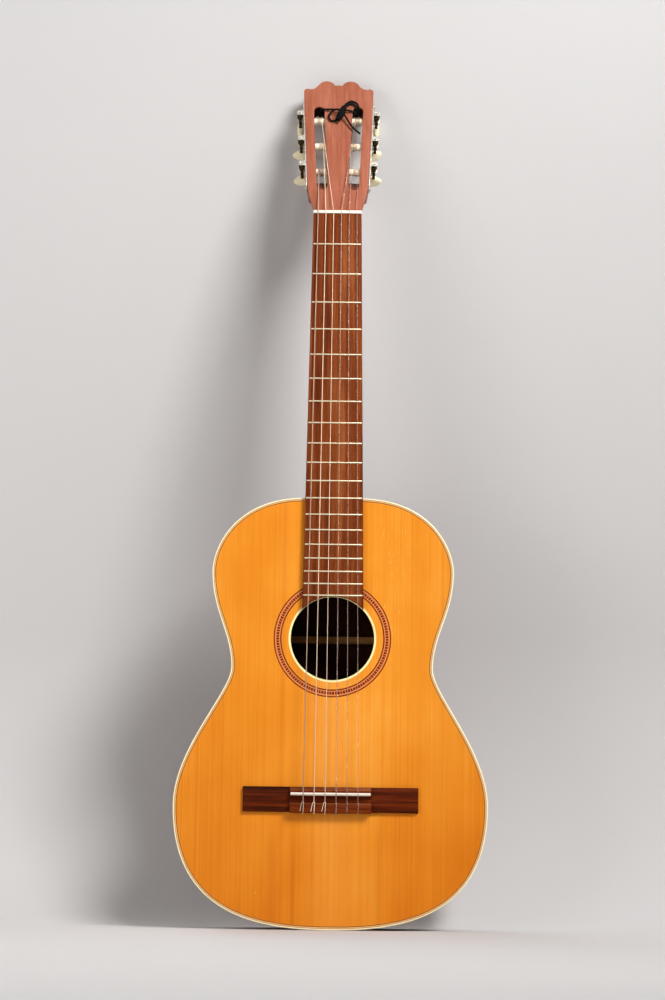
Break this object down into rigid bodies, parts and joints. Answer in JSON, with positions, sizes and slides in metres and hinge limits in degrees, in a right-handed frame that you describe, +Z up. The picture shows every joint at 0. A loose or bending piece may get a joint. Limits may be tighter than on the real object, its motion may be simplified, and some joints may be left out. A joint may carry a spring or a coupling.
{
  "type": "classical guitar",
  "caption": "Classical guitar with a spruce face, round soundhole with rosette, slotted head, geared tuners that turn, tied bridge and a lace knotted round the head.",
  "frame": {"origin": "bottom centre of the guitar's box: the tail end of the body on the centre line, half way between the strings at the bridge and the back", "axes": "+Z up along the neck from the tail to the head, -Y out of the guitar's front, -X the bass side"},
  "size_m": [0.3428, 0.1089, 0.9689],
  "materials": {
    "spruce": "gloss lacquer over straight grain",
    "mahogany": "gloss lacquer",
    "cedar_neck": "satin lacquer",
    "veneer": "satin lacquer",
    "rosewood": "oiled",
    "inner_wood": "bare",
    "cream": "gloss",
    "bone": "polished",
    "inlay": "gloss lacquer",
    "nickel": "polished nickel",
    "brass": "aged",
    "wound_wire": "wound wire",
    "nylon": "clear nylon",
    "black_cord": "woven cord"
  },
  "bodies": {
    "guitar": {"soundboard": "spruce", "back": "mahogany", "side_bass": "mahogany", "side_treble": "mahogany", "top_binding": "cream", "back_binding": "cream", "top_lining": "inner_wood", "back_lining": "inner_wood", "neck_block": "inner_wood", "tail_block": "inner_wood", "soundhole_binding": "cream", "rosette": "inlay", "harmonic_bar_upper": "inner_wood", "harmonic_bar_lower": "inner_wood", "back_brace_upper": "inner_wood", "back_brace_middle": "inner_wood", "back_brace_lower": "inner_wood", "fan_brace_bass": "inner_wood", "fan_brace_centre": "inner_wood", "fan_brace_treble": "inner_wood", "neck": "cedar_neck", "head_veneer": "veneer", "fingerboard": "rosewood", "nut": "bone", "bridge": "rosewood", "saddle": "bone", "tuner_plate_bass": "nickel", "tuner_plate_treble": "nickel", "string_1": "nylon", "string_2": "nylon", "string_3": "nylon", "string_4": "wound_wire", "string_5": "wound_wire", "string_6": "wound_wire", "lace": "black_cord"},
    "roller_bass_1": {"roller_bass_1": "cream", "gear_bass_1": "brass"},
    "roller_bass_2": {"roller_bass_2": "cream", "gear_bass_2": "brass"},
    "roller_bass_3": {"roller_bass_3": "cream", "gear_bass_3": "brass"},
    "roller_treble_1": {"roller_treble_1": "cream", "gear_treble_1": "brass"},
    "roller_treble_2": {"roller_treble_2": "cream", "gear_treble_2": "brass"},
    "roller_treble_3": {"roller_treble_3": "cream", "gear_treble_3": "brass"},
    "button_bass_1": {"worm_shaft_bass_1": "nickel", "button_bass_1": "cream"},
    "button_bass_2": {"worm_shaft_bass_2": "nickel", "button_bass_2": "cream"},
    "button_bass_3": {"worm_shaft_bass_3": "nickel", "button_bass_3": "cream"},
    "button_treble_1": {"worm_shaft_treble_1": "nickel", "button_treble_1": "cream"},
    "button_treble_2": {"worm_shaft_treble_2": "nickel", "button_treble_2": "cream"},
    "button_treble_3": {"worm_shaft_treble_3": "nickel", "button_treble_3": "cream"}
  },
  "joints": [
    {"name": "button_bass_1_spin", "type": "hinge", "parent": "guitar", "child": "button_bass_1", "pos_m": [-0.04119, -0.01605, 0.8577], "axis": [0, 0.9511, -0.309], "continuous": true},
    {"name": "button_bass_2_spin", "type": "hinge", "parent": "guitar", "child": "button_bass_2", "pos_m": [-0.04268, -0.00525, 0.89096], "axis": [0, 0.9511, -0.309], "continuous": true},
    {"name": "button_bass_3_spin", "type": "hinge", "parent": "guitar", "child": "button_bass_3", "pos_m": [-0.04417, 0.00556, 0.92421], "axis": [0, 0.9511, -0.309], "continuous": true},
    {"name": "button_treble_1_spin", "type": "hinge", "parent": "guitar", "child": "button_treble_1", "pos_m": [0.04119, -0.01605, 0.8577], "axis": [0, 0.9511, -0.309], "continuous": true},
    {"name": "button_treble_2_spin", "type": "hinge", "parent": "guitar", "child": "button_treble_2", "pos_m": [0.04268, -0.00525, 0.89096], "axis": [0, 0.9511, -0.309], "continuous": true},
    {"name": "button_treble_3_spin", "type": "hinge", "parent": "guitar", "child": "button_treble_3", "pos_m": [0.04417, 0.00556, 0.92421], "axis": [0, 0.9511, -0.309], "continuous": true},
    {"name": "roller_bass_1_spin", "type": "hinge", "parent": "guitar", "child": "roller_bass_1", "pos_m": [-0.03561, -0.0187, 0.84955], "axis": [0.9991, 0.0131, 0.0404], "continuous": true},
    {"name": "roller_bass_2_spin", "type": "hinge", "parent": "guitar", "child": "roller_bass_2", "pos_m": [-0.03709, -0.0079, 0.8828], "axis": [0.9991, 0.0131, 0.0404], "continuous": true},
    {"name": "roller_bass_3_spin", "type": "hinge", "parent": "guitar", "child": "roller_bass_3", "pos_m": [-0.03858, 0.00291, 0.91606], "axis": [0.9991, 0.0131, 0.0404], "continuous": true},
    {"name": "roller_treble_1_spin", "type": "hinge", "parent": "guitar", "child": "roller_treble_1", "pos_m": [0.03561, -0.0187, 0.84955], "axis": [0.9991, -0.0131, -0.0404], "continuous": true},
    {"name": "roller_treble_2_spin", "type": "hinge", "parent": "guitar", "child": "roller_treble_2", "pos_m": [0.03709, -0.0079, 0.8828], "axis": [0.9991, -0.0131, -0.0404], "continuous": true},
    {"name": "roller_treble_3_spin", "type": "hinge", "parent": "guitar", "child": "roller_treble_3", "pos_m": [0.03858, 0.00291, 0.91606], "axis": [0.9991, -0.0131, -0.0404], "continuous": true}
  ],
  "couplings": [
    {"joint": "roller_bass_1_spin", "follows": "button_bass_1_spin", "ratio": 0.071429},
    {"joint": "roller_bass_2_spin", "follows": "button_bass_2_spin", "ratio": 0.071429},
    {"joint": "roller_bass_3_spin", "follows": "button_bass_3_spin", "ratio": 0.071429},
    {"joint": "roller_treble_1_spin", "follows": "button_treble_1_spin", "ratio": 0.071429},
    {"joint": "roller_treble_2_spin", "follows": "button_treble_2_spin", "ratio": 0.071429},
    {"joint": "roller_treble_3_spin", "follows": "button_treble_3_spin", "ratio": 0.071429}
  ]
}
